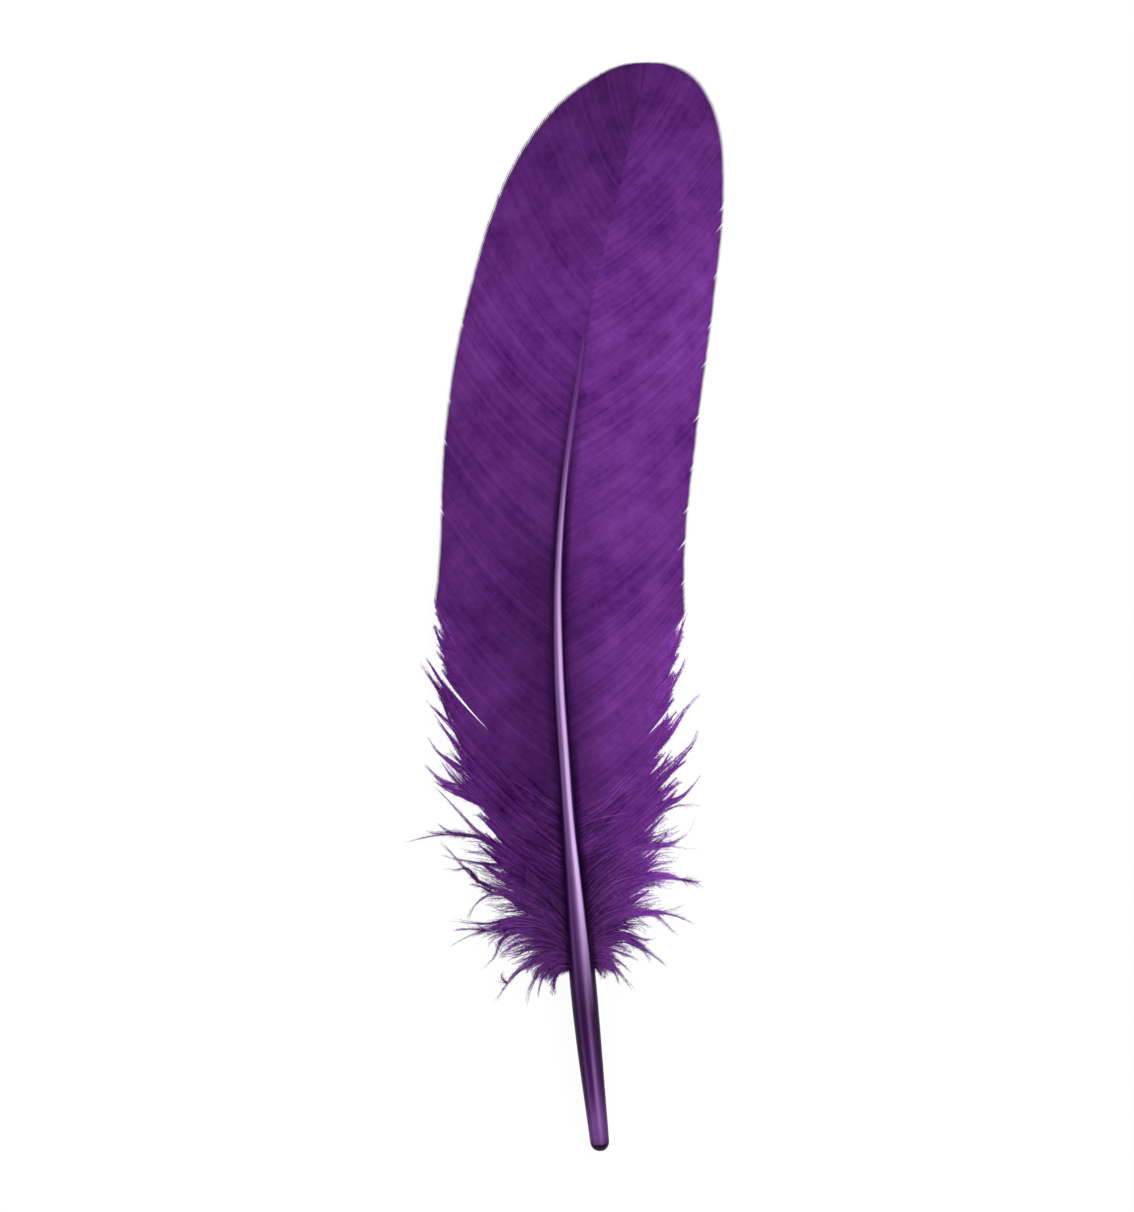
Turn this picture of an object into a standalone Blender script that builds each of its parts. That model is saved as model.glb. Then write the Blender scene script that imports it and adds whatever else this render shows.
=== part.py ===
"""A goose quill feather, lying on its hollow underside with its glossy back up.

X runs across the two vanes, Y from the open end of the quill to the tip, and Z up.
The origin is on the surface that the feather rests on, under the middle of its box.
A feather grows in one piece, so the shaft, the locks of both vanes and the tufts of
down are all joined into one solid.
"""

import math

import bmesh
import bpy
import numpy as np
from mathutils import Vector

# Tables are in millimetres, so that they read like a drawing; the model is in metres.
MM = 0.001

# The shaft: place along the feather, then how far right of the middle and how high its centre lies.
# It bows to the left, and arches over the surface between the quill's end and the tip.
SHAFT_LINE = (
    (-88.9, 5.5, 1.52),
    (-68.0, 3.25, 3.6),
    (-45.0, 1.2, 5.4),
    (-28.0, -0.1, 6.3),
    (-10.0, -1.25, 6.8),
    (5.0, -1.35, 6.9),
    (20.0, -0.35, 6.5),
    (34.0, 1.4, 5.7),
    (48.0, 3.5, 4.4),
    (65.3, 7.7, 2.2),
    (78.4, 10.8, 0.8),
    (89.0, 13.1, 0.3),
)

# Place along the feather, then the shaft's radius: thickest where the down begins.
SHAFT_RADIUS = (
    (-88.9, 1.5),
    (-79.0, 1.8),
    (-70.0, 2.05),
    (-61.0, 2.15),
    (-50.0, 1.85),
    (-39.5, 1.5),
    (-17.0, 1.15),
    (6.0, 0.8),
    (27.0, 0.62),
    (48.0, 0.46),
    (66.0, 0.34),
    (74.0, 0.15),
)
QUILL_END, SHAFT_END = -88.9, 74.0  # past its end the shaft is lost between the barbs
SHAFT_STEP = 4.0
SHAFT_BEVEL_RESOLUTION = 3
END_ROUNDING = 0.7

# The hole in the end of the quill, where it grew from the skin.
END_HOLE_RADIUS = 0.6
END_HOLE_DEPTH = 3.0

# The vanes. A barb leaves the shaft at one place and ends on the vane's edge further up:
# the place where it leaves, then how far right and how far along its end lies.
LEFT, RIGHT = "left", "right"
VANE_EDGE = {
    LEFT: (
        (-44.0, -23.8, -21.1),
        (-31.0, -22.9, -8.9),
        (-15.5, -21.2, 6.4),
        (7.6, -20.1, 28.6),
        (28.0, -17.0, 48.1),
        (45.0, -11.1, 67.9),
        (58.0, -4.6, 78.9),
        (70.0, 2.8, 85.6),
        (76.0, 7.2, 88.0),
        (82.0, 13.1, 89.0),
    ),
    RIGHT: (
        (-44.0, 21.2, -24.2),
        (-27.0, 19.9, -8.0),
        (-9.4, 19.4, 8.6),
        (9.6, 21.4, 28.6),
        (30.0, 24.2, 50.0),
        (47.0, 25.8, 67.5),
        (58.0, 25.1, 78.4),
        (70.0, 20.8, 86.7),
        (76.0, 17.4, 88.5),
        (82.0, 13.1, 89.0),
    ),
}
VANE_START, VANE_STOP = -44.0, 82.0
VANE_THICKNESS = 0.5
BARB_LEAN = (0.55, 0.33)  # the bend's place, as shares of the way across and along

# The place where a barb leaves, then how high its end would hang; the surface holds it up.
EDGE_HEIGHT = (
    (-44.0, 0.9),
    (-15.0, 1.2),
    (10.0, 0.9),
    (35.0, -0.8),
    (55.0, -2.4),
    (82.0, -3.0),
)
CROWN_HEIGHT = 0.5  # how far a vane swells above the straight slope to its edge
DROOP_POWER = 1.5

# The locks that each vane parts into, and the share of a barb at which the parting starts.
LOCKS_A_SIDE = 21
LOCK_COLUMNS = 2
LOCK_ROWS = 9
PARTING = ((-44.0, 0.45), (-22.0, 0.62), (8.0, 0.82), (45.0, 0.9), (82.0, 0.96))
PARTING_WIDTH = ((-44.0, 0.6), (-20.0, 0.4), (10.0, 0.16), (82.0, 0.08))
LOCK_SWAY = 1.4  # how far a parting strays along the feather on its way out
LOCK_CROWN = 0.15  # how far the middle of a lock stands above its edges
TIP_ROUNDING = ((-44.0, 0.16), (-20.0, 0.08), (10.0, 0.015), (82.0, 0.008))

# The tufts of down: the place where one leaves, then how far right and how far along its tip
# lies. They bow towards the feather's tip, and the lowest ones curl back over the quill.
TUFT_TIP = {
    LEFT: (
        (-60.5, -1.5, -63.0),
        (-59.5, -6.9, -65.6),
        (-58.5, -12.2, -64.6),
        (-57.0, -15.6, -58.6),
        (-55.0, -21.0, -51.0),
        (-52.0, -25.9, -39.6),
        (-49.0, -23.4, -31.0),
        (-46.0, -23.6, -24.4),
    ),
    RIGHT: (
        (-60.5, 7.6, -61.0),
        (-59.5, 11.4, -63.0),
        (-58.0, 17.0, -59.4),
        (-56.0, 22.0, -52.4),
        (-54.0, 23.8, -46.8),
        (-51.5, 22.4, -40.0),
        (-49.0, 21.2, -34.4),
        (-46.0, 22.8, -28.2),
    ),
}
TUFTS_A_SIDE = 11
TUFT_PLACE = (-60.5, -46.0)
TUFT_BOW = ((-60.5, 0.16), (-54.0, 0.14), (-46.0, 0.0))  # as a share of a tuft's length
TUFT_WIDTH = ((-60.5, 3.2), (-56.0, 4.4), (-46.0, 5.0))
TUFT_TAPER = 0.85  # how much of its width a tuft loses by its tip
TUFT_COLUMNS = 2
TUFT_ROWS = 6
TUFT_LAYERS = (0.9, -0.6, 0.2)  # how far above the shaft's centre the tufts leave, in turn
TUFT_TIP_HEIGHTS = (2.8, 0.5, 1.6)

VANE_COLOUR = (0.105, 0.025, 0.185, 1.0)
QUILL_COLOUR = (0.16, 0.05, 0.24, 1.0)


def smooth(knots, at):
    """Values at a place, on the smooth curve through knots of (place, value, value...)."""
    table = np.array(knots, float)
    places, values = table[:, 0], table[:, 1:]
    slopes = np.gradient(values, places, axis=0)
    at = min(max(at, places[0]), places[-1])
    i = min(np.searchsorted(places, at, side="right") - 1, len(places) - 2)
    gap = places[i + 1] - places[i]
    f = (at - places[i]) / gap
    start, end = values[i], values[i + 1]
    leave, arrive = slopes[i] * gap, slopes[i + 1] * gap
    return (
        start * (1 + 2 * f) * (1 - f) ** 2
        + end * f * f * (3 - 2 * f)
        + leave * f * (1 - f) ** 2
        - arrive * f * f * (1 - f)
    )


def ease(value):
    """0 below 0, 1 above 1, and a smooth step between."""
    value = min(max(value, 0.0), 1.0)
    return value * value * (3 - 2 * value)


def stray(side, number):
    """A repeatable number from -1 to 1 for each lock or tuft, so that no two sit alike."""
    seed = number * 12.9898 + (78.233 if side == LEFT else 37.719)
    return 2 * (math.sin(seed) * 43758.5453 % 1.0) - 1


def material(name, colour, roughness):
    made = bpy.data.materials.new(name)
    made.use_nodes = True
    shader = made.node_tree.nodes["Principled BSDF"]
    shader.inputs["Base Color"].default_value = colour
    shader.inputs["Roughness"].default_value = roughness
    made.diffuse_color = colour
    return made


def mesh_object(name, mesh, collection):
    made = bpy.data.objects.new(name, mesh)
    collection.objects.link(made)
    return made


def shaft_point(place):
    across, height = smooth(SHAFT_LINE, place)
    return Vector((across, place, height)) * MM


def vane_point(side, place, share):
    """The point of a vane at a share of the way out along the barb that leaves at a place."""
    root_across, root_height = smooth(SHAFT_LINE, place)
    edge_across, edge_along = smooth(VANE_EDGE[side], place)
    bend_across = root_across + BARB_LEAN[0] * (edge_across - root_across)
    bend_along = place + BARB_LEAN[1] * (edge_along - place)
    rest = 1 - share
    across = rest**2 * root_across + 2 * rest * share * bend_across + share**2 * edge_across
    along = rest**2 * place + 2 * rest * share * bend_along + share**2 * edge_along
    root_height += 0.3 * smooth(SHAFT_RADIUS, place)[0]
    edge_height = smooth(EDGE_HEIGHT, place)[0]
    height = root_height + (edge_height - root_height) * share**DROOP_POWER
    height += CROWN_HEIGHT * math.sin(math.pi * share) * ease(root_height / 3)
    return Vector((across, along, max(height, VANE_THICKNESS / 2))) * MM


def add_strip(bm, columns, rows, place_vertex):
    """A grid whose vertices place_vertex puts in space, from -1 to 1 across and 0 to 1 along."""
    made = bmesh.ops.create_grid(bm, x_segments=columns, y_segments=rows, size=1.0)
    for vertex in made["verts"]:
        vertex.co = place_vertex(vertex.co.x, (vertex.co.y + 1) / 2)


def add_lock(bm, side, number):
    """One lock of a vane. It shares its edges with its neighbours up to where they part."""
    width = (VANE_STOP - VANE_START) / LOCKS_A_SIDE
    middle = VANE_START + (number + 0.5) * width
    parting = smooth(PARTING, middle)[0]
    narrowing = smooth(PARTING_WIDTH, middle)[0]
    rounding = smooth(TIP_ROUNDING, middle)[0]
    is_last = number == LOCKS_A_SIDE - 1

    def place_vertex(across, share):
        meets_other_vane = is_last and across > 0
        parted = 0.0 if meets_other_vane else ease((share - parting) / (1 - parting))
        place = middle + across * width / 2 * (1 - narrowing * parted)
        if not (meets_other_vane or abs(across) < 0.5):
            edge = number + (1 if across > 0 else 0)
            place += LOCK_SWAY * stray(side, edge) * share * (1 - parted / 2)
        shorter = rounding * across**2 * parted
        point = vane_point(side, min(place, VANE_STOP), share * (1 - shorter))
        lifted = ease((point.z / MM - VANE_THICKNESS / 2) / LOCK_CROWN)
        if not meets_other_vane:
            point.z += LOCK_CROWN * MM * (1 - abs(across)) * ease(share * 3) * lifted
        return point

    add_strip(bm, LOCK_COLUMNS, LOCK_ROWS, place_vertex)


def solidify(obj):
    shell = obj.modifiers.new("Thickness", "SOLIDIFY")
    shell.thickness = VANE_THICKNESS * MM
    shell.offset = 0.0


def sheet_mesh(name, bm):
    """A mesh from an open sheet, its faces all turned up."""
    bmesh.ops.remove_doubles(bm, verts=bm.verts, dist=0.00001)
    bmesh.ops.recalc_face_normals(bm, faces=bm.faces)
    if sum(face.normal.z * face.calc_area() for face in bm.faces) < 0:
        bmesh.ops.reverse_faces(bm, faces=bm.faces)
    mesh = bpy.data.meshes.new(name)
    bm.to_mesh(mesh)
    bm.free()
    return mesh


def make_vanes(collection, colour):
    bm = bmesh.new()
    for side in (LEFT, RIGHT):
        for number in range(LOCKS_A_SIDE):
            add_lock(bm, side, number)
    vanes = mesh_object("vanes", sheet_mesh("vanes", bm), collection)
    vanes.data.materials.append(colour)
    solidify(vanes)


def make_tuft(collection, side, number, colour):
    """One tapering tuft of down, which leaves inside the shaft and droops to the surface."""
    place = TUFT_PLACE[0] + (TUFT_PLACE[1] - TUFT_PLACE[0]) * number / (TUFTS_A_SIDE - 1)
    width = smooth(TUFT_WIDTH, place)[0]
    layer = number % len(TUFT_LAYERS)
    root = shaft_point(place) / MM
    root.z += TUFT_LAYERS[layer]
    tip = Vector((*smooth(TUFT_TIP[side], place), TUFT_TIP_HEIGHTS[layer]))
    bend = (root + tip) / 2
    bend.y += 2 * smooth(TUFT_BOW, place)[0] * (tip - root).length

    def place_vertex(across, share):
        rest = 1 - share
        point = rest**2 * root + 2 * rest * share * bend + share**2 * tip
        forward = (rest * (bend - root) + share * (tip - bend)).normalized()
        sideways = Vector((forward.y, -forward.x, 0))
        fullness = 0.4 + 0.6 * math.sin(math.pi * share**0.6)
        half = width / 2 * fullness * (1 - TUFT_TAPER * share**3)
        point += sideways * across * half
        point.z += LOCK_CROWN * (1 - abs(across)) * share
        return point * MM

    bm = bmesh.new()
    add_strip(bm, TUFT_COLUMNS, TUFT_ROWS, place_vertex)
    name = f"tuft_{side}_{number}"
    tuft = mesh_object(name, sheet_mesh(name, bm), collection)
    tuft.data.materials.append(colour)
    solidify(tuft)


def make_shaft(collection, colour):
    """The shaft as a tapering tube, made a mesh so that the vanes can be joined to it."""
    places = list(np.arange(QUILL_END, SHAFT_END, SHAFT_STEP)) + [SHAFT_END]
    places.insert(1, QUILL_END + END_ROUNDING)
    curve = bpy.data.curves.new("shaft", "CURVE")
    curve.dimensions = "3D"
    curve.bevel_depth = MM
    curve.bevel_resolution = SHAFT_BEVEL_RESOLUTION
    curve.use_fill_caps = True
    spline = curve.splines.new("POLY")
    spline.points.add(len(places) - 1)
    for point, place in zip(spline.points, places):
        point.co = (*shaft_point(place), 1.0)
        point.radius = smooth(SHAFT_RADIUS, place)[0]
    spline.points[0].radius -= END_ROUNDING / 2
    guide = bpy.data.objects.new("shaft_guide", curve)
    collection.objects.link(guide)
    graph = bpy.context.evaluated_depsgraph_get()
    mesh = bpy.data.meshes.new_from_object(guide.evaluated_get(graph))
    bpy.data.objects.remove(guide)
    bm = bmesh.new()
    bm.from_mesh(mesh)
    bmesh.ops.remove_doubles(bm, verts=bm.verts, dist=0.00001)
    bm.to_mesh(mesh)
    bm.free()
    mesh.materials.clear()
    mesh.materials.append(colour)
    return mesh_object("feather", mesh, collection)


def make_end_hole(collection, colour):
    """The cutter for the hole in the quill's end, along the shaft's own direction there."""
    end = shaft_point(QUILL_END)
    inward = (shaft_point(QUILL_END + END_HOLE_DEPTH) - end).normalized()
    bm = bmesh.new()
    bmesh.ops.create_cone(
        bm,
        cap_ends=True,
        segments=10,
        radius1=END_HOLE_RADIUS * MM,
        radius2=END_HOLE_RADIUS * MM,
        depth=2 * END_HOLE_DEPTH * MM,
    )
    mesh = bpy.data.meshes.new("end_hole")
    bm.to_mesh(mesh)
    bm.free()
    mesh.materials.append(colour)
    cutter = mesh_object("end_hole", mesh, collection)
    cutter.location = end
    cutter.rotation_mode = "QUATERNION"
    cutter.rotation_quaternion = inward.to_track_quat("Z", "Y")
    return cutter


def main():
    for obj in list(bpy.data.objects):
        bpy.data.objects.remove(obj)
    scene = bpy.context.scene
    whole = bpy.data.collections.new("goose_quill_feather")
    joined = bpy.data.collections.new("joined_shapes")
    cutters = bpy.data.collections.new("cutters")
    for collection in (whole, joined, cutters):
        scene.collection.children.link(collection)

    vane_colour = material("vane", VANE_COLOUR, 0.75)
    quill_colour = material("quill", QUILL_COLOUR, 0.35)
    feather = make_shaft(whole, quill_colour)
    make_vanes(joined, vane_colour)
    for side in (LEFT, RIGHT):
        for number in range(TUFTS_A_SIDE):
            make_tuft(joined, side, number, vane_colour)
    cutter = make_end_hole(cutters, quill_colour)
    for helper in (*joined.objects, cutter):
        helper.hide_render = True
        helper.display_type = "WIRE"

    hollow = feather.modifiers.new("End hole", "BOOLEAN")
    hollow.operation = "DIFFERENCE"
    hollow.object = cutter
    join = feather.modifiers.new("Vanes and down", "BOOLEAN")
    join.operation = "UNION"
    join.operand_type = "COLLECTION"
    join.collection = joined


main()
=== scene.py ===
"""The looks of a dyed goose quill feather: every barb and downy strand as its own mesh strand.

Lengths are in millimetres up to the point where a mesh is made; the scene is in metres.
"""

import bpy
import numpy as np
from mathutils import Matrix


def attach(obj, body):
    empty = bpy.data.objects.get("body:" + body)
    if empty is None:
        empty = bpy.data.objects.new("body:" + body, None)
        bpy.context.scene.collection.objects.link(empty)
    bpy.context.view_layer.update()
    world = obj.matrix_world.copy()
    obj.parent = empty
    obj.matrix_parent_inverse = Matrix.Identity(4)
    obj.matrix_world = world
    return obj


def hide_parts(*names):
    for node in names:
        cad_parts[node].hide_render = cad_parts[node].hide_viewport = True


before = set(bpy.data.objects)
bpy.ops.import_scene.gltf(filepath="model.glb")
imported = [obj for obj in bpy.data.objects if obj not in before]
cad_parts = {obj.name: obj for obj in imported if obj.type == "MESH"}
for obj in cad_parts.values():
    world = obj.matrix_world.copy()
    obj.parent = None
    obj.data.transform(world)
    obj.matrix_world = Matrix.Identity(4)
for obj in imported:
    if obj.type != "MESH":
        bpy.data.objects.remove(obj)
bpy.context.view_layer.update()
MM = 0.001
UP = np.array([0.0, 0.0, 1.0])

# The shaft: place along the feather, then how far right of the middle and how high its centre lies.
SHAFT_LINE = (
    (-88.9, 5.5, 1.52), (-68, 3.25, 3.6), (-45, 1.2, 5.4), (-28, -0.1, 6.3),
    (-10, -1.25, 6.8), (5, -1.35, 6.9), (20, -0.35, 6.5), (34, 1.4, 5.7), (48, 3.5, 4.4),
    (65.3, 7.7, 2.2), (78.4, 10.8, 0.8), (89, 13.1, 0.3),
)
SHAFT_RADIUS = (
    (-88.9, 1.5), (-79, 1.8), (-70, 2.05), (-61, 2.15), (-50, 1.85), (-39.5, 1.5),
    (-17, 1.15), (6, 0.8), (27, 0.62), (48, 0.46), (66, 0.34), (74, 0.15),
)
QUILL_END, SHAFT_END = -88.9, 74.0
SHAFT_SIDES, SHAFT_RINGS = 28, 170
SHAFT_SINKS = 0.75  # near the tip the shaft lies under the vane by this share of its radius
SINKS_FROM, SINKS_OVER = 32.0, 18.0
END_ROUNDING = 1.5  # how far from its end the quill starts to round off
END_TURN = np.linspace(1.5, 0.35, 9)  # the angles of the rings there, in radians
HOLE_RINGS = ((0.08, 0.28), (0.4, 0.26), (2.0, 0.26), (5.0, 0.2))  # depth, share of the radius
END_DARK = (1.35, 0.3)  # painted shade at the open end: how far from the end it darkens, on top, and further at the sides
DARK_EDGE = 0.45  # over what length it turns dark
DARKEST, HOLE_SHADE = 0.08, 0.05  # how light the painted shade leaves the colour at the end, and in the hole
GROOVE_DEPTH, GROOVE_HALF = 0.4, 0.3  # as a share of the radius, and in radians
GROOVE_FROM, GROOVE_TO = (-60.0, 14.0), (60.0, 20.0)  # where it starts and ends, over what length

# The place where a barb leaves the shaft, then how far right and how far along its end lies. The
# first two lines of each side reach out to the tips of the down.
LEFT, RIGHT = "left", "right"
BARB_END = {
    LEFT: (
        (-60.5, -1.5, -63), (-59.5, -6.9, -65.6), (-58.5, -12.2, -64.6), (-57, -15.6, -58.6),
        (-55, -21, -51), (-52, -25.9, -39.6), (-49, -23.4, -31), (-46, -23.6, -24.4),
        (-31, -22.9, -8.9), (-15.5, -21.2, 6.4), (7.6, -20.1, 28.6), (28, -17, 48.1),
        (45, -11.1, 67.9), (58, -4.6, 78.9), (70, 2.8, 85.6), (76, 7.2, 88),
        (79.5, 10.2, 88.8), (82, 13.1, 88.9),
    ),
    RIGHT: (
        (-60.5, 7.6, -61), (-59.5, 11.4, -63), (-58, 17, -59.4), (-56, 22, -52.4),
        (-54, 23.8, -46.8), (-51.5, 22.4, -40), (-49, 21.2, -34.4), (-46, 22.8, -28.2),
        (-27, 19.9, -8), (-9.4, 19.4, 8.6), (9.6, 21.4, 28.6), (30, 24.2, 50),
        (47, 25.8, 67.5), (58, 25.1, 78.4), (70, 20.8, 86.7), (76, 17.4, 88.5),
        (79.5, 15.2, 88.9), (82, 13.1, 88.9),
    ),
}
VANE_START, VANE_STOP = -52.0, 82.0
BARB_LEAN = (0.55, 0.33)  # the bend's place, as shares of the way across and along
EDGE_HEIGHT = (
    (-44, 0.9), (-15, 1.2), (10, 0.9), (35, -0.8), (55, -2.4), (82, -3),
)
ROOT_RISE = 0.3  # how far above the shaft's middle barbs leave it, as a share of its radius
CROWN_HEIGHT = 0.5
CROWN_FULL = 3.0  # how high the shaft lies where the crown has its full height
DROOP_POWER = 1.5
LOWEST = 0.2  # how near the surface the middle of a barb comes

# The barbs of a vane, and the margin where they come apart.
BARBS_A_SIDE = 340
BARB_RINGS = 26
BARB_OVERLAP = 1.5  # how much wider a barb is than the gap to its neighbour
BARB_WANDER = 0.012  # how far barbs rise and sink, with their neighbours
RIDGE_HEIGHT = 0.07
# The share of a whole barb that tapers, what being clipped or loose adds, and what its end keeps.
TAPER_WHOLE, TAPER_CLIPPED, TAPER_LOOSE, TAPER_END = 0.015, 0.065, 0.16, 0.06
# How far right the solid part of each vane and its down reaches, from the lowest place up.
MARGIN = {
    LEFT: (
        (-60.5, -2.4), (-58, -5.8), (-56, -8.2), (-54, -9.2), (-52, -11.2), (-50, -9),
        (-48, -9.8), (-46, -10.4), (-44, -11.4), (-42, -12.2), (-40, -11.8), (-38, -12.2),
        (-36, -12.8), (-34, -12.8), (-32, -14.8), (-30, -17.2), (-28, -17.4), (-26, -16.4),
        (-24, -16.8), (-22, -17.4), (-20, -18.5), (-18, -19.3), (-16, -20), (-14, -20.6),
        (-12, -20.7), (-8, -20.6), (-4, -21), (0, -21.4), (6, -30),
    ),
    RIGHT: (
        (-60.5, 4.6), (-59, 6.6), (-57, 7.8), (-55, 9), (-54, 11.2), (-52, 10.4),
        (-50, 12.4), (-48.5, 12), (-47, 10.8), (-45.5, 13), (-44, 14.2), (-42, 13.2),
        (-40, 13.4), (-38, 14.2), (-36, 13.2), (-34, 14.6), (-32, 16), (-30, 16),
        (-28, 15.8), (-26, 15.6), (-24, 15.4), (-22, 15.6), (-20, 16.6), (-18, 16.8),
        (-16, 16.6), (-14, 16.6), (-12, 17.3), (-10, 17.5), (-8, 17.8), (-6, 18.3),
        (-2, 18.6), (4, 30),
    ),
}
MARGIN_TESTS = (0.2, 1.0, 81)  # the shares of a barb at which it is held against the margin
CLIPPED_BY = 0.06  # a barb that ends this share short is fully clipped
FUZZY_FROM = 0.3  # barbs clipped by more than this have free barbules
MARGIN_RAGGED = (0.035, 0.006)  # the share by which barbs end apart, clipped ones and whole ones
RAGGED_RANGE = (-0.8, 1.2)  # short of the margin, and past it
RIM_RAGGED = 0.003
LOOSE_RAGGED = 1.6  # how much more ragged the loose part is
# Slits between barbs that have come apart at the edge: place, share where it opens, half its width.
SLITS = {
    LEFT: (
        (-30.2, 0.45, 0.75), (-21.5, 0.93, 0.2), (-5.6, 0.93, 0.2), (6.2, 0.93, 0.2),
        (13.4, 0.94, 0.18), (26.5, 0.95, 0.16),
    ),
    RIGHT: (
        (-37.3, 0.5, 1.3), (-31.3, 0.56, 1.2), (-25.8, 0.64, 1), (-20, 0.86, 0.2),
        (-14, 0.9, 0.16), (-7, 0.86, 0.26), (-2, 0.9, 0.22), (4.4, 0.92, 0.14),
        (12.2, 0.88, 0.22), (20.4, 0.9, 0.18), (26.4, 0.92, 0.2), (34.2, 0.92, 0.18),
        (42.4, 0.86, 0.22), (45.2, 0.9, 0.16),
    ),
}
SLIT_REACH = 2.6  # how far along the shaft a slit pushes the barbs aside
SLIT_MOST = 1.2  # past its end a slit opens no further than this
LOOSE_FROM, LOOSE_FULLY = -26.0, -46.0  # between these places the vane turns to down
LOOSE_DRIFT = (0.6, 0.1)  # how far its barbs stray, with their neighbours and alone
DRIFT_REACH, WANDER_REACH, STREAK_REACH = 7, 6, 2  # among how many neighbours
LOOSE_LIFT = 0.2
LOOSE_OVERLAP = 0.6
MEETS_FROM, MEETS_OVER, MEETS_BY = 40.0, 12.0, 0.02  # higher up the vanes overlap by this share

# How light the vanes are: below 1 is darker. Along the feather, on each side; the right vane is
# lighter than the left, which is painted light falling from the right.
DYE_AND_SIDE_LIGHT = {
    LEFT: (
        (-66, 0.9), (-50, 0.76), (-30, 0.86), (-10, 0.9), (10, 0.93), (30, 1),
        (45, 1.14), (60, 0.97), (70, 0.84), (80, 0.66), (89, 0.6),
    ),
    RIGHT: (
        (-66, 1), (-50, 1), (-30, 1.12), (-10, 1.18), (10, 1.2), (30, 1.32),
        (45, 1.38), (60, 1.22), (70, 1.12), (80, 0.96), (89, 0.76),
    ),
}
# Painted shade beside the shaft, where the shaft shades the vane: the share lost there, how far out
# it fades, and the stretch of the feather over which it ends. First a narrow line, then a broad shade.
ROOT_SHADE = {
    LEFT: ((0.72, 0.85, 8.0, 54.0), (0.42, 9.0, -5.0, 48.0)),
    RIGHT: ((0.75, 0.8, 8.0, 54.0), (0.5, 7.0, -12.0, 46.0)),
}
SHADE_MOST = 0.85
BARB_SLANT = 1.25  # how much longer the way out along a barb is than straight across
EDGE_SHADE, EDGE_SHADE_FROM = 0.16, 0.93
EDGE_LIGHT, EDGE_LIGHT_FROM = 0.5, 0.7  # barbs end lighter where the margin has come apart
PALE_BARBS = (0.035, 0.35)  # this share of the barbs are lighter by this much
STREAK_TONES = (0.1, 0.08)  # how much tones vary, with their neighbours and alone
LOOSE_TONE = 0.25
# The noises that the dye's tone is mixed from: scale, detail and amount.
DYE_NOISES = ((60.0, 2.0, 0.6), (240.0, 3.0, 0.42), (900.0, 2.0, 0.3))

# How strong the painted highlight along the shaft's crest is, where its middle lies from side to
# side, and its half width.
CREST = (
    (-88.9, 0.06, 0.5, 0.4), (-84, 0.07, 0.5, 0.4), (-77, 0, 0.7, 0.2),
    (-66, 0.02, 0.72, 0.15), (-60, 0.28, 0.72, 0.15), (-53, 0.62, 0.71, 0.15),
    (-44, 0.95, 0.68, 0.15), (-34, 0.8, 0.6, 0.17), (-20, 0.72, 0.6, 0.2),
    (-4, 0.64, 0.58, 0.24), (8, 0.44, 0.52, 0.25), (16, 0.3, 0.5, 0.26),
    (24, 0.12, 0.46, 0.28), (34, 0.03, 0.45, 0.3), (44, 0, 0.5, 0.3),
)
CREST_PROFILE = ((0.05, 0.0), (0.22, 0.13), (0.34, 0.3), (0.45, 1.0), (0.55, 1.0), (0.68, 0.0))
# The bands of painted shade and painted highlight along the quill: the place and length over which
# they fade out up the shaft, those over which they grow at the quill's end, and how strong they
# are there.
BANDS_FADE, BANDS_GROW, BANDS_AT_END = (16.0, 16.0), (-88.0, 12.0), 0.35
SHAFT_LIGHT = (  # how light the shaft is
    (-88.9, 1), (-85, 1.35), (-80, 1.2), (-74, 0.85), (-66, 0.6), (-60, 0.85),
    (-50, 1), (28, 1), (44, 0.8), (74, 0.8),
)

# The colours round the bare shaft, from its left side to its right one: purple with painted shade
# at both sides and two lighter streaks of painted highlight.
ROUND_SHADE_AND_HIGHLIGHTS = (
    (0, (0.012, 0, 0.028)), (0.13, (0.022, 0.002, 0.045)), (0.25, (0.1, 0.04, 0.145)),
    (0.37, (0.048, 0.009, 0.075)), (0.47, (0.055, 0.012, 0.09)), (0.6, (0.21, 0.1, 0.27)),
    (0.74, (0.065, 0.018, 0.095)), (0.9, (0.018, 0.001, 0.036)),
)

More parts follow.
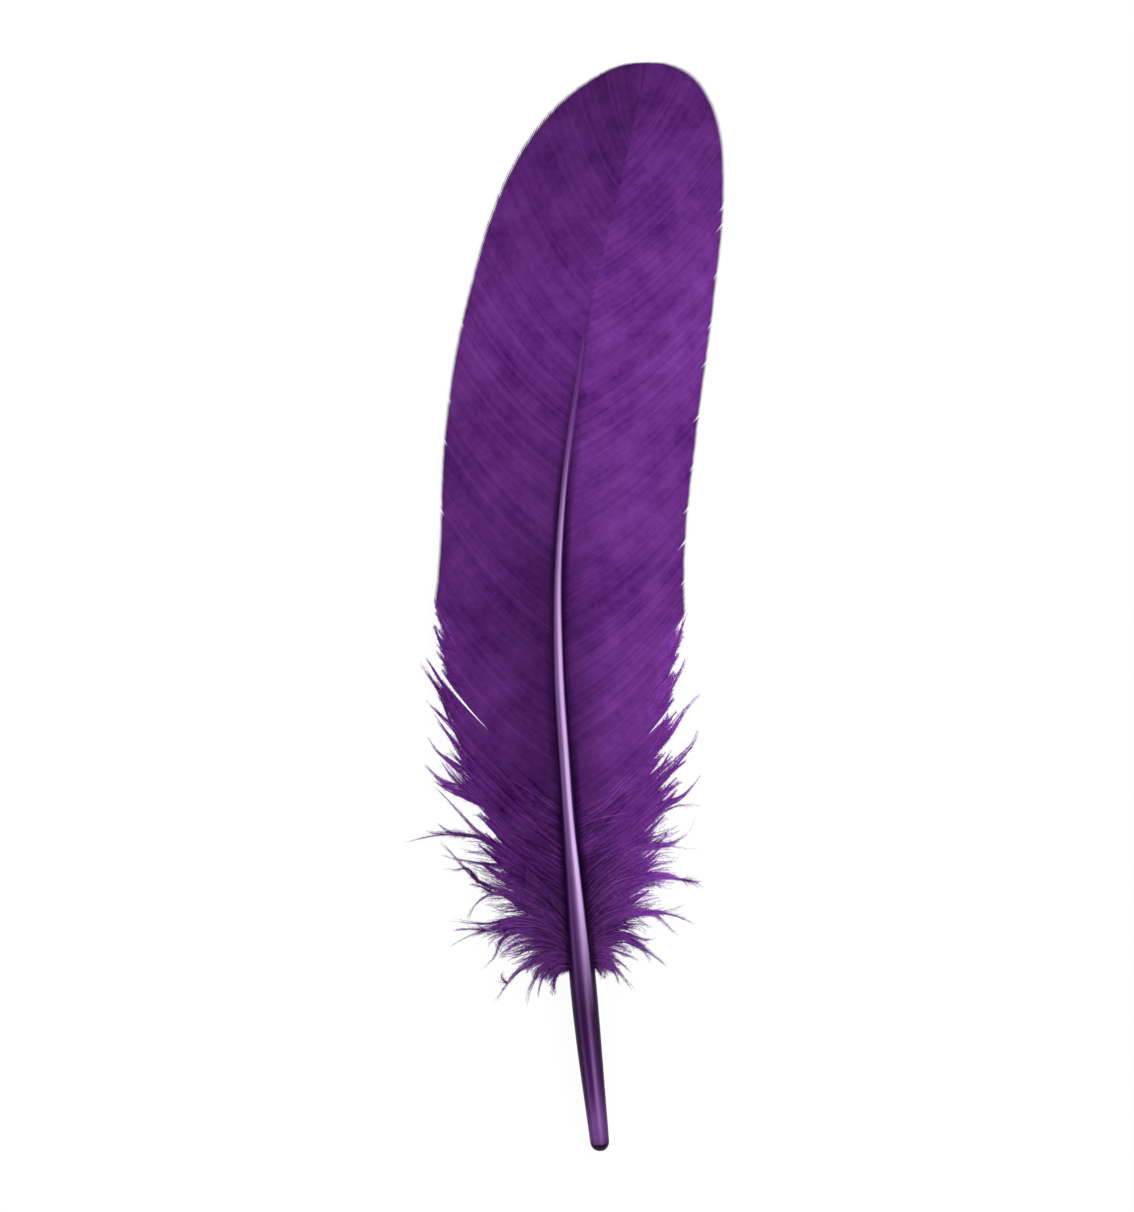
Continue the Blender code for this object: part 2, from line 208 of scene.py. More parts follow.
# Traced lines of the wisps: half a wisp's width where it comes free, then how far right and how
# far along it runs. The first kind are the tips of locks of the vane, and set out among its barbs.
LOCK_TIPS = {
    LEFT: (
        (0.5, (-16.4, -22.5), (-18.8, -18), (-20.7, -14), (-22.4, -11.6), (-24.2, -8.8)),
        (0.2, (-18.6, -15.6), (-20.8, -12), (-23.2, -8.2)),
        (0.25, (-15.8, -23), (-18, -20.3), (-20.8, -17.6), (-23.4, -14.6)),
        (0.4, (-15.6, -25.8), (-18.2, -22.2), (-20.3, -19.6), (-22.3, -17.2)),
        (0.45, (-13.5, -29.8), (-16.6, -27.4), (-19.3, -25.3), (-21.6, -23.2), (-23, -20.9)),
        (0.25, (-14.6, -27.8), (-17.2, -25.4), (-19.8, -23.3)),
        (0.55, (-14.2, -31.4), (-17.6, -30), (-20.3, -28.6), (-23.5, -25.8)),
        (0.4, (-15, -30.6), (-18.3, -28.2), (-20.9, -25.1)),
        (0.25, (-16, -31), (-19.5, -29.8), (-22.6, -27.9)),
        (0.4, (-10, -37), (-13, -34.8), (-16.2, -33.2)),
        (0.2, (-18.4, -5.5), (-20, -2.6), (-21.9, 1.4)),
        (0.25, (-18.8, -9.4), (-20.4, -6.4), (-21.9, -2.8)),
    ),
    RIGHT: (
        (0.35, (13.6, -15.5), (15.4, -12.8), (17, -10.2), (18.3, -7.6)),
        (0.4, (13.8, -17), (16.3, -13.9), (18.2, -11), (20.1, -7.7)),
        (0.35, (13.4, -22.6), (15.4, -19.8), (16.6, -16.6)),
        (0.45, (13.8, -23.6), (16.9, -20.4), (18.3, -18.3), (20.6, -15.4), (22, -14)),
        (0.4, (12.8, -29.8), (15.2, -26.6), (17.2, -23.3)),
        (0.55, (13, -30.2), (16.2, -27), (18.6, -24.5), (20.2, -22.9), (21.7, -20.3)),
        (0.2, (14.5, -29), (17, -27), (19.6, -25)),
        (0.5, (12, -33.8), (16, -32.2), (18.8, -31), (20.6, -29.3), (22, -27.7)),
        (0.3, (13.6, -32), (16.6, -29.8), (18.8, -28.4)),
        (0.2, (17.2, -7.6), (18.4, -4.4), (19.5, -1)),
    ),
}
# The second kind are down, set out from the shaft, and are listed from the lowest up.
DOWN_WISPS = {
    LEFT: (
        (0.3, (2.5, -59.4), (0.2, -58.8), (-1.8, -60.2), (-2.2, -63.2)),
        (0.25, (2.5, -59.1), (-0.8, -58.2), (-3.7, -60.3), (-5, -64.3)),
        (0.45, (2.4, -58.6), (-1.2, -57.3), (-4.2, -59.1), (-6, -62.2), (-6.8, -65.8)),
        (0.6, (2.3, -58), (-1.5, -56.2), (-5.7, -58.1), (-8.4, -60), (-10.6, -62.8), (-12.6, -65.9)),
        (0.35, (2.2, -57.5), (-3.5, -55.3), (-8, -56.3), (-11.6, -57.2)),
        (0.5, (2.1, -57), (-4, -53.6), (-8.8, -53.2), (-10.9, -54.8), (-11.7, -57), (-14.2, -59.6)),
        (0.6, (2, -56.5), (-4.5, -52.2), (-9.5, -52.2), (-13.8, -53.2), (-17, -54.4), (-19.4, -55.9)),
        (0.6, (2, -56), (-4.5, -51.5), (-8.8, -51), (-12.5, -51.7), (-16, -51.6), (-19.6, -51.1)),
        (0.45, (1.9, -55), (-4, -49.5), (-9.1, -46.9), (-13, -47.2), (-15.4, -49.4), (-16.5, -52.9)),
        (0.45, (1.8, -54.5), (-4.5, -49), (-10.5, -46.6), (-14.4, -45), (-17.3, -42), (-21.1, -38)),
        (0.5, (1.6, -53), (-4, -46.5), (-9.5, -42.8), (-14.2, -42), (-18.4, -41.3), (-22, -40.1)),
        (0.6, (1.6, -52), (-4, -45.5), (-9.8, -40.5), (-14.3, -37.7), (-20, -37.2), (-26.7, -38.5)),
        (0.5, (1.4, -50), (-5, -44), (-11, -39.5), (-15, -36.4), (-19.2, -31.8), (-22.2, -28.9)),
    ),
    RIGHT: (
        (0.25, (2.5, -59.3), (4.6, -58.6), (6, -60.8)),
        (0.2, (2.4, -58.6), (5, -57.8), (7.6, -59.4), (8.7, -62)),
        (0.4, (2.3, -58), (5, -57.3), (7.6, -58.8), (9.6, -61), (11.3, -63.3)),
        (0.35, (2.3, -57.5), (5.2, -56.5), (8.4, -57.9), (11.1, -60.4)),
        (0.3, (2.2, -57), (5.4, -55.6), (9, -56.4), (12.2, -57.9)),
        (0.5, (2.2, -56.5), (5.5, -54.6), (10.3, -54.5), (13.2, -56.2), (15.2, -57.8), (17.1, -59.5)),
        (0.4, (2.1, -56), (5.2, -53.8), (9, -53.2), (12.6, -54.4), (15.3, -54.2)),
        (0.3, (2, -55.5), (5.5, -52.3), (10, -50.4), (14.2, -50.3), (16.7, -52.5), (20, -56)),
        (0.5, (2, -55.2), (5.5, -52), (10, -50.2), (15.3, -50), (18.5, -50.8), (21.2, -52.1)),
        (0.4, (2, -55), (5.2, -51.8), (9.7, -50), (14.3, -50), (17.2, -49.6), (19.9, -48.6)),
        (0.35, (1.9, -54), (5.5, -51), (9.8, -49.3), (12.7, -48), (15.4, -47.9)),
        (0.35, (1.8, -53), (5.5, -49.5), (9.1, -47), (13, -45.7), (17.8, -45.8)),
        (0.55, (1.7, -52.2), (6, -47.3), (11.7, -44.6), (15.8, -44.3), (20.2, -45), (23.6, -46.8)),
        (0.5, (1.7, -52), (6, -47), (11.7, -44.2), (15.8, -43.9), (19.6, -44.8), (22.2, -43.9)),
        (0.5, (1.6, -50.5), (6.5, -45.5), (11.7, -43.4), (15, -42.1), (17.5, -41.7), (18.6, -40.1)),
        (0.45, (1.5, -49), (7, -43), (12.3, -39.8), (16, -39.1), (19.9, -39.6), (22.3, -39.7)),
        (0.5, (1.4, -48), (7, -42.5), (12.3, -39), (15.6, -39), (19.4, -37.3), (21.3, -34)),
        (0.5, (1, -45), (7, -40), (13.1, -36.1), (15.3, -33.8), (18.8, -32.4), (22.2, -32.9)),
    ),
}
# The third kind branch off a wisp.
SIDE_WISPS = {
    LEFT: (
        (0.25, (-15.6, -37.5), (-19.7, -37), (-22.1, -36.9), (-24, -36)),
        (0.2, (-16.6, -37.4), (-19.5, -36.7), (-21.4, -35.2)),
        (0.25, (-14.4, -45.2), (-16.4, -42.8), (-18.3, -43), (-20.2, -43.2)),
        (0.2, (-11.8, -46.8), (-13.6, -45.9), (-16.2, -45.3)),
        (0.25, (-12.6, -53), (-16.3, -52.7), (-18.8, -52.9)),
        (0.2, (-9.6, -61.5), (-10.4, -60.8), (-10.8, -59.4)),
    ),
    RIGHT: (
        (0.3, (13, -39.4), (15.6, -37.8), (16.9, -35.6)),
        (0.25, (9.6, -54.6), (12.8, -56.4), (14, -58.5)),
        (0.2, (18.6, -44.6), (20.6, -45), (22.8, -45)),
    ),
}
WISP_STRANDS, LOCK_STRANDS = 20, 27  # for each millimetre of a wisp's half width
WISP_EXTRA = 0.35  # added to that half width, so that a thin wisp has strands too
WISP_SHAPE = ((0.0, 0.7), (0.3, 1.5), (0.5, 0.8), (0.75, 0.35), (1.0, 0.05))
TIP_SHAPE = ((0.0, 1.6), (0.3, 2.2), (0.45, 1.8), (0.75, 0.6), (1.0, 0.05))
SIDE_SHAPE = ((0.0, 1.0), (0.5, 0.7), (1.0, 0.05))
WISP_REACH = (0.6, 1.0)
WISP_FORK, FORK_FROM = 0.4, 0.72
WISP_WAVE = 0.14
WAVE_TURNS = (5.0, 11.0)  # radians along a strand
WISP_THIN = 0.6  # strands in wisps are thinner
WISP_LIFT, LIFT_LOST = 0.5, 0.6
TIP_RUNS_IN = 1.2  # how far inwards a lock's tip sets out, in lengths of its first step
TIP_SINKS = 0.35  # how deep among the barbs it sets out
TIP_LIFT = (-0.12, 0.04)
# Where the vane's height is found, to lay strands on it.
HEIGHT_PLACES, HEIGHT_SHARES = (VANE_START, 0.0, 70), (0.06, 1.1, 45)
DOWN_REST = (1.3, 0.7)  # how high the ends of the down lie, and how much that varies
DOWN_REST_TURNS = 1.3  # radians for each millimetre along the feather
DOWN_DROOP = 9.0  # how far from the shaft the down has mostly drooped
MASS_STRANDS = 1000
MASS_REACH = (0.4, 1.28)
MASS_WAVE = 0.36
MASS_GATHERS = 1.05  # above 1, more of the strands are among the lowest
MASS_LIFT, MASS_LIFT_LOST = (-1.2, 0.9), 0.5
FLOW_STEPS, FLOW_WHOLE = 60, 10  # points along the flow, and how many at its start end no strand
OVER_EACH = 3  # one strand in this many lies over the vane
OVER_LIFT = (0.05, 0.4)
# Stray barbs lie over the lowest part of the vane.
STRAY_BARBS = 300
STRAY_PLACE, STRAY_GATHERS = (-52.0, -33.0), 1.3
STRAY_REACH = (0.15, 0.5)
STRAY_WAVE, STRAY_TURNS = 1.6, 4.0
STRAY_DROOP = 6.0
STRAY_LIFT = (0.6, 1.6)  # as a share of a barb's ridge
# Barbs in locks' tips, then stray ones: half their width, how much their tones vary, their dye.
FLAT_WIDTHS = (0.13, 0.2)
FLAT_TONES = (0.12, 0.3)
TIP_LIGHT, STRAY_LIGHT = 1.1, (0.4, 1.6)
FLAT_HEIGHT = 0.3  # as a share of their width
STRAND_SIDES = 4
STRAND_RINGS = 15
STRAND_RADIUS = 0.12
RADIUS_RANGE = (0.7, 1.2)
STRAND_HEIGHT = 0.7  # as a share of a strand's width
RING_SHARE = np.linspace(0, 1, STRAND_RINGS)[None]
THINNING = 1 - 0.85 * RING_SHARE**1.5
WISP_TONE, MASS_TONE = (0.55, 0.15), (0.46, 0.25)  # the usual tone, and how much it varies
# Barbules on one side: how many, the longest, how much lighter they end, the stretch of a strand
# on which they grow, and how they gather: above 1 towards its root, and below 1 towards its tip.
VANE_BARBULES = (4500, 3.4, 1.5, (0.84, 0.99), 1.0)
TIP_BARBULES = (4000, 1.8, 1.8, (0.4, 0.98), 1.0)
WISP_BARBULES = (12000, 2.0, 1.6, (0.1, 0.98), 1.5)
MASS_BARBULES = (31000, 2.3, 2.4, (0.1, 0.98), 0.6)
BARBULE_RADIUS = 0.028
BARBULE_LEAN = 38  # degrees away from the strand that it grows on
BARBULE_REACH = (0.5, 1.0)
BARBULE_LIFT = 0.15
BARBULE_SHRINK = 0.8  # the share of their length that they lose by a strand's tip
BARBULE_DYE = (0.35, 1.6)  # how light they are at a strand's root, and what they gain by its tip
BARBULE_TONE = (0.04, 0.2)  # how far their tone is from the strand's: usually, and how it varies
SPIKE_SIDES, SPIKE_POINTS = 3, 4
VANE_SEED, DOWN_SEED = 11, 21

# The stage, in metres: area lights by place, size and power.
FLOOR_SIZE, FLOOR_DROP = 6.0, 0.0002
LIGHTS = {"key": ((0.6, 0.2, 0.9), 0.5, 6.0), "fill": ((-0.5, 0.4, 0.9), 0.8, 2.0)}
SKY_STRENGTH = 0.6
CAMERA_HEIGHT, HEIGHT_SEEN = 0.9, 0.198


def smooth(knots, at):
    """Values at places, on the smooth curve through knots of (place, value, value...)."""
    table = np.array(knots, float)
    places, values = table[:, 0], table[:, 1:]
    slopes = np.gradient(values, places, axis=0)
    at = np.clip(np.asarray(at, float), places[0], places[-1])
    i = np.clip(np.searchsorted(places, at, side="right") - 1, 0, len(places) - 2)
    gap = (places[i + 1] - places[i])[..., None]
    f = (at - places[i])[..., None] / gap
    result = (
        values[i] * (1 + 2 * f) * (1 - f) ** 2
        + values[i + 1] * f * f * (3 - 2 * f)
        + slopes[i] * gap * f * (1 - f) ** 2
        - slopes[i + 1] * gap * f * f * (1 - f)
    )
    return result[..., 0] if result.shape[-1] == 1 else result


def ease(value):
    value = np.clip(value, 0.0, 1.0)
    return value * value * (3 - 2 * value)


def unit(vectors):
    return vectors / np.maximum(np.linalg.norm(vectors, axis=-1, keepdims=True), 1e-9)


def vane_points(side, place, share):
    """Points of the vane: place is where the barb leaves, share how far out along it they lie."""
    root = smooth(SHAFT_LINE, place)
    edge = smooth(BARB_END[side], place)
    root_across, root_height = root[..., 0], root[..., 1]
    across_gap, along_gap = edge[..., 0] - root_across, edge[..., 1] - place
    rest = 1 - share
    across = root_across + across_gap * (2 * rest * share * BARB_LEAN[0] + share**2)
    along = place + along_gap * (2 * rest * share * BARB_LEAN[1] + share**2)
    root_height = root_height + ROOT_RISE * smooth(SHAFT_RADIUS, place)
    edge_height = smooth(EDGE_HEIGHT, place)
    height = root_height + (edge_height - root_height) * np.clip(share, 0, 2) ** DROOP_POWER
    height = height + CROWN_HEIGHT * np.sin(np.pi * np.clip(share, 0, 1)) * ease(root_height / CROWN_FULL)
    return np.stack([across, along, np.maximum(height, LOWEST)], axis=-1)


def tube_faces(rings, sides):
    """The walls between the rings of a tube, and its two caps, as numbers of its corners."""
    corner = np.arange(sides)
    after = (corner + 1) % sides
    ring = np.arange(rings - 1)[:, None] * sides
    wall = np.stack([ring + corner, ring + after, ring + sides + after, ring + sides + corner], -1)
    caps = np.stack([corner[::-1], (rings - 1) * sides + corner])
    return wall.reshape(-1, 4), caps


class Strands:
    """Gathers closed thin strands, to make them into one mesh."""

    def __init__(self):
        self.points, self.faces, self.fibre, self.dye_and_shading = [], [], [], []
        self.count = 0

    def add(self, path, sideways, half_width, half_height, tone, dye_and_shading):
        """path is (strands, rings, 3); the other arrays are (strands, rings), tone (strands,)."""
        strands, rings = path.shape[:2]
        forward = unit(np.gradient(path, axis=1))
        up = unit(np.cross(sideways, forward))
        up *= np.where(up[..., 2:] < 0, -1, 1)
        angles = np.pi / 2 + np.arange(STRAND_SIDES) * 2 * np.pi / STRAND_SIDES
        out = np.cos(angles)[None, None, :, None] * (sideways * half_width[..., None])[:, :, None]
        out = out + np.sin(angles)[None, None, :, None] * (up * half_height[..., None])[:, :, None]
        points = path[:, :, None] + out
        fibre = np.zeros((strands, rings, STRAND_SIDES, 3))
        fibre[..., 0] = length_along(path)[:, :, None]
        fibre[..., 1] = np.cos(angles) * half_width[..., None]
        fibre[..., 2] = tone[:, None, None]
        wall, caps = tube_faces(rings, STRAND_SIDES)
        start = self.count + np.arange(strands)[:, None, None] * rings * STRAND_SIDES
        self.faces.append((start + wall).reshape(-1, 4))
        self.faces.append((start + caps).reshape(-1, STRAND_SIDES))
        self.gather(points, fibre, np.repeat(dye_and_shading[..., None], STRAND_SIDES, axis=2))

    def add_spikes(self, root, tip, radius, tone, dye_and_shading):
        """Slivers with three sides, which end in a point; root and tip are (slivers, 3)."""
        forward = unit(tip - root)
        sideways = unit(np.cross(forward, UP))
        up = np.cross(sideways, forward)
        turns = np.pi / 2 + np.arange(SPIKE_SIDES) * 2 * np.pi / SPIKE_SIDES
        out = np.cos(turns)[None, :, None] * sideways[:, None]
        out = out + np.sin(turns)[None, :, None] * up[:, None]
        points = np.concatenate([root[:, None] + radius * out, tip[:, None]], axis=1)
        fibre = np.zeros((len(root), SPIKE_POINTS, 3))
        fibre[:, -1, 0] = np.linalg.norm(tip - root, axis=1)
        fibre[..., 2] = tone[:, None]
        corners = np.array([(2, 1, 0), (0, 1, 3), (1, 2, 3), (2, 0, 3)])
        start = self.count + np.arange(len(root))[:, None, None] * SPIKE_POINTS
        self.faces.append((start + corners).reshape(-1, 3))
        self.gather(points, fibre, dye_and_shading)

    def gather(self, points, fibre, dye_and_shading):
        self.points.append(points.reshape(-1, 3))
        self.fibre.append(fibre.reshape(-1, 3))
        self.dye_and_shading.append(dye_and_shading.ravel())
        self.count += self.dye_and_shading[-1].size

    def make(self, name, ridged):
        """The object, its strands smooth along their length, and ridged along their middle."""
        points = np.concatenate(self.points) * MM
        loops = np.concatenate([faces.ravel() for faces in self.faces])
        sizes = np.concatenate([np.full(len(faces), faces.shape[1]) for faces in self.faces])
        mesh = bpy.data.meshes.new(name)
        mesh.vertices.add(len(points))
        mesh.vertices.foreach_set("co", points.ravel())
        mesh.loops.add(len(loops))
        mesh.loops.foreach_set("vertex_index", loops.astype(np.int32))
        mesh.polygons.add(len(sizes))
        starts = np.concatenate([[0], np.cumsum(sizes)[:-1]])
        mesh.polygons.foreach_set("loop_start", starts.astype(np.int32))
        mesh.update(calc_edges=True)
        mesh.shade_smooth()
        if ridged:
            ends = np.zeros(len(mesh.edges) * 2, np.int32)
            mesh.edges.foreach_get("vertices", ends)
            lengthwise = np.abs(np.diff(ends.reshape(-1, 2), axis=1)).ravel() == STRAND_SIDES
            sharp = mesh.attributes.new("sharp_edge", "BOOLEAN", "EDGE")
            sharp.data.foreach_set("value", lengthwise)
        fibre = mesh.attributes.new("fibre", "FLOAT_VECTOR", "POINT")
        fibre.data.foreach_set("vector", np.concatenate(self.fibre).ravel())
        # This attribute holds the dye together with painted shade beside the shaft and painted light on
        # the right side.
        dye_and_shading = mesh.attributes.new("dye_and_shading", "FLOAT", "POINT")
        dye_and_shading.data.foreach_set("value", np.concatenate(self.dye_and_shading))
        return new_object(name, mesh)


def new_object(name, mesh):
    made = bpy.data.objects.new(name, mesh)
    bpy.context.scene.collection.objects.link(made)
    return made


def drifting(random, count, reach):
    """Numbers about 0 for neighbouring strands, which drift together over a reach of strands."""
    loose = random.normal(size=count + 6 * reach)
    window = np.hanning(2 * reach + 1)
    return np.convolve(loose, window / np.sqrt((window**2).sum()), mode="same")[3 * reach:-3 * reach]


def streaks(random, count):
    """Tones from 0 to 1 for neighbouring strands."""
    together = STREAK_TONES[0] * drifting(random, count, STREAK_REACH)
    return np.clip(0.5 + together + STREAK_TONES[1] * random.normal(size=count), 0, 1)


def dye_and_painted_light(side, path):
    """How light the colour is at points: dye, with painted shade beside the shaft, changing along the
    feather, and painted light making the right side lighter.
    """
    aside = np.abs(path[..., 0] - smooth(SHAFT_LINE, path[..., 1])[..., 0])
    from_shaft = np.maximum(BARB_SLANT * aside - smooth(SHAFT_RADIUS, path[..., 1]), 0)
    lost = 0
    for part, reach, start, stop in ROOT_SHADE[side]:
        left_over = ease((stop - path[..., 1]) / (stop - start))
        lost = lost + part * np.exp(-((from_shaft / reach) ** 2)) * left_over
    return smooth(DYE_AND_SIDE_LIGHT[side], path[..., 1]) * (1 - np.minimum(lost, SHADE_MOST))


def length_along(path):
    step = np.linalg.norm(np.diff(path, axis=1), axis=-1)
    return np.concatenate([np.zeros((len(path), 1)), np.cumsum(step, axis=1)], axis=1)


def margin_share(side, place):
    """The share of each barb by which it has reached the margin of the vane."""
    share = np.linspace(*MARGIN_TESTS)
    points = vane_points(side, *np.meshgrid(place, share, indexing="ij"))
    along, across = np.array(MARGIN[side]).T
    outside = np.abs(points[..., 0]) > np.abs(np.interp(points[..., 1], along, across))
    outside[:, -1] = True
    return share[outside.argmax(axis=1)]


def slit_shift(side, place, share):
    """How far the slits push each point of the barbs aside, along the shaft."""
    shift = np.zeros_like(share)
    for slit, opens, half in SLITS[side]:
        away = (place - slit)[:, None]
        opening = np.clip((share - opens) / (1 - opens), 0, SLIT_MOST)
        shift += np.sign(away) * half * np.exp(-np.abs(away) / SLIT_REACH) * opening
    return shift


def barb_lengths(random, side, place, loose):
    """The share of each barb by which it ends, and how far the margin has clipped it."""
    full = margin_share(side, place)
    clipped = ease((1 - full) / CLIPPED_BY)
    ragged = MARGIN_RAGGED[1] + (MARGIN_RAGGED[0] - MARGIN_RAGGED[1]) * clipped
    ragged = ragged * (1 + LOOSE_RAGGED * loose)
    length = np.minimum(full + random.uniform(*RAGGED_RANGE, len(place)) * ragged, 1)
    return length - random.uniform(0, RIM_RAGGED, len(place)), clipped


def add_barbs(strands, random, side):
    """The barbs of the vane; returns those that end in free barbules, with their tones."""
    count = BARBS_A_SIDE
    place = np.linspace(VANE_START, VANE_STOP, count)
    loose = ease((LOOSE_FROM - place) / (LOOSE_FROM - LOOSE_FULLY))[:, None]
    length, clipped = barb_lengths(random, side, place, loose[:, 0])
    along = np.linspace(0, 1, BARB_RINGS)[None, :]
    overlap = MEETS_BY * ease((place - MEETS_FROM) / MEETS_OVER)[:, None]
    share = along * (length[:, None] + overlap) - overlap

    drift = LOOSE_DRIFT[0] * drifting(random, count, DRIFT_REACH)
    drift = drift + LOOSE_DRIFT[1] * random.normal(size=count)
    drift = drift[:, None] * loose * np.maximum(share, 0) ** 1.5
    shifted = place[:, None] + drift + slit_shift(side, place, share)
    whole = vane_points(side, np.repeat(place[:, None], BARB_RINGS, axis=1), share)
    path = vane_points(side, np.minimum(shifted, VANE_STOP), share)
    path[..., 2] += BARB_WANDER * drifting(random, count, WANDER_REACH)[:, None]
    path[..., 2] += random.normal(0, LOOSE_LIFT, count)[:, None] * loose * share
    path[..., 2] = np.maximum(path[..., 2], LOWEST / 2)

    forward = unit(np.gradient(whole, axis=1))
    aside = np.gradient(whole, axis=0)
    aside -= forward * (aside * forward).sum(-1, keepdims=True)
    gap = np.linalg.norm(aside, axis=-1)
    taper_length = TAPER_WHOLE + clipped[:, None] * (TAPER_CLIPPED + TAPER_LOOSE * loose)
    taper = np.clip((1 - along) / taper_length, TAPER_END, 1) ** 0.8
    half_width = gap * (BARB_OVERLAP + LOOSE_OVERLAP * loose) / 2 * taper
    half_height = RIDGE_HEIGHT * (1 - 0.5 * np.maximum(share, 0)) * np.sqrt(taper)
    tone = streaks(random, count)
    tone = np.where(random.uniform(size=count) < PALE_BARBS[0], tone + PALE_BARBS[1], tone)
    tone = np.clip(tone + loose[:, 0] * random.normal(0, LOOSE_TONE, count), 0, 1)
    dye_and_shading = dye_and_painted_light(side, path)
    dye_and_shading = dye_and_shading * (1 - EDGE_SHADE * ease((share - EDGE_SHADE_FROM) / (1 - EDGE_SHADE_FROM)))
    end_light = ease((along - EDGE_LIGHT_FROM) / (1 - EDGE_LIGHT_FROM))
    dye_and_shading = dye_and_shading * (1 + EDGE_LIGHT * clipped[:, None] * end_light)
    strands.add(path, unit(aside), half_width, half_height, tone, dye_and_shading)
    fuzzy = clipped > FUZZY_FROM
    return path[fuzzy], tone[fuzzy]


def add_flat_barbs(strands, random, side):
    """The tips of locks, and stray barbs; returns the tips, with their tones."""
    tips = wisp_strands(random, side, LOCK_TIPS[side], TIP_SHAPE, LOCK_STRANDS, in_vane=True)
    path = np.concatenate([tips, stray_barbs(random, side)])
    in_tips = np.arange(len(path)) < len(tips)
    half_width = np.where(in_tips, *FLAT_WIDTHS)[:, None] * THINNING
    tone = np.clip(random.normal(0.5, np.where(in_tips, *FLAT_TONES)), 0, 1)
    light = np.where(in_tips, TIP_LIGHT, random.uniform(*STRAY_LIGHT, len(path)))[:, None]
    dye_and_shading = dye_and_painted_light(side, path) * light * (1 + 2 * EDGE_LIGHT * in_tips[:, None] * RING_SHARE)
    strands.add(path, flat_sideways(path), half_width, half_width * FLAT_HEIGHT, tone, dye_and_shading)
    return tips, tone[in_tips]


def make_vane(side, seed):
    random = np.random.default_rng(seed)
    strands = Strands()
    fuzzy, fuzzy_tone = add_barbs(strands, random, side)
    tips, tip_tone = add_flat_barbs(strands, random, side)
    add_barbules(strands, random, side, fuzzy, fuzzy_tone, VANE_BARBULES)
    add_barbules(strands, random, side, tips, tip_tone, TIP_BARBULES)
    return strands.make(f"{side}_vane", ridged=True)


def flat_sideways(path):
    forward = unit(np.gradient(path, axis=1))
    return unit(np.cross(forward, UP))


def add_barbules(strands, random, side, path, tone, barbules):
    """Fine slivers on both sides of strands, pointing towards their tips, evenly among them all."""
    count, longest, pales, stretch, gather = barbules
    last = path.shape[1] - 1
    size = np.linalg.norm(np.diff(path, axis=1), axis=-1).sum(axis=1)
    which = random.choice(len(path), count, p=size / size.sum())
    at = (stretch[0] + (stretch[1] - stretch[0]) * random.uniform(size=count) ** gather) * last
    low = np.minimum(at.astype(int), last - 1)
    mix = (at - low)[:, None]
    root = path[which, low] * (1 - mix) + path[which, low + 1] * mix
    forward = unit(path[which, low + 1] - path[which, low])
    sideways = unit(np.cross(forward, UP)) * random.choice([-1.0, 1.0], count)[:, None]
    angle = np.radians(random.normal(BARBULE_LEAN, BARBULE_LEAN / 4, count))[:, None]
    way = forward * np.cos(angle) + sideways * np.sin(angle)
    way[:, 2] += random.normal(0, BARBULE_LIFT, count)
    reach = random.uniform(*BARBULE_REACH, count) * longest * (1 - BARBULE_SHRINK * at / last)
    tip = root + way * reach[:, None]
    tip[:, 2] = np.maximum(tip[:, 2], LOWEST / 2)
    sliver_tone = np.clip(tone[which] + random.normal(*BARBULE_TONE, count), 0, 1)
    dye_and_shading = dye_and_painted_light(side, root) * (BARBULE_DYE[0] + BARBULE_DYE[1] * (at / last) ** 2)
    dye_and_shading = dye_and_shading[:, None] * np.array([(1 + pales) / 2] * SPIKE_SIDES + [pales])
    strands.add_spikes(root, tip, BARBULE_RADIUS, sliver_tone, dye_and_shading)


def traced(points, share):
    """Places at shares of the length of the smooth curve through the points of a traced line."""
    points = np.array(points, float)
    steps = np.linalg.norm(np.diff(points, axis=0), axis=1)
    reach = np.concatenate([[0], np.cumsum(steps)]) / steps.sum()
    return smooth(np.column_stack([reach, points]), share)


def vane_height(side, flat):
    """How high the vane lies at places given by how far right and how far along they are."""
    place, share = np.meshgrid(np.linspace(*HEIGHT_PLACES), np.linspace(*HEIGHT_SHARES))
    vane = vane_points(side, place.ravel(), share.ravel())
    gaps = np.linalg.norm(flat[:, None] - vane[None, :, :2], axis=-1)
    return vane[gaps.argmin(axis=1), 2]


def down_height(flat):
    """How high down lies: it droops from the shaft until it rests near the surface."""
    line = smooth(SHAFT_LINE, flat[..., 1])
    away = flat[..., 0] - line[..., 0]
    low = DOWN_REST[0] + DOWN_REST[1] * np.sin(DOWN_REST_TURNS * flat[..., 1])
    return low + (line[..., 1] - low) * np.exp(-((away / DOWN_DROOP) ** 2))


def wavy(random, share, size):
    """Sideways waves that grow towards the ends of strands."""
    phase = random.uniform(0, 2 * np.pi, len(share))[:, None]
    turns = random.uniform(*WAVE_TURNS, len(share))[:, None]
    return size * np.sin(phase + share * turns) * share


def move_aside(flat, offset):
    forward = unit(np.gradient(flat, axis=1))
    beside = np.stack([forward[..., 1], -forward[..., 0]], -1)
    return flat + beside * offset[..., None]


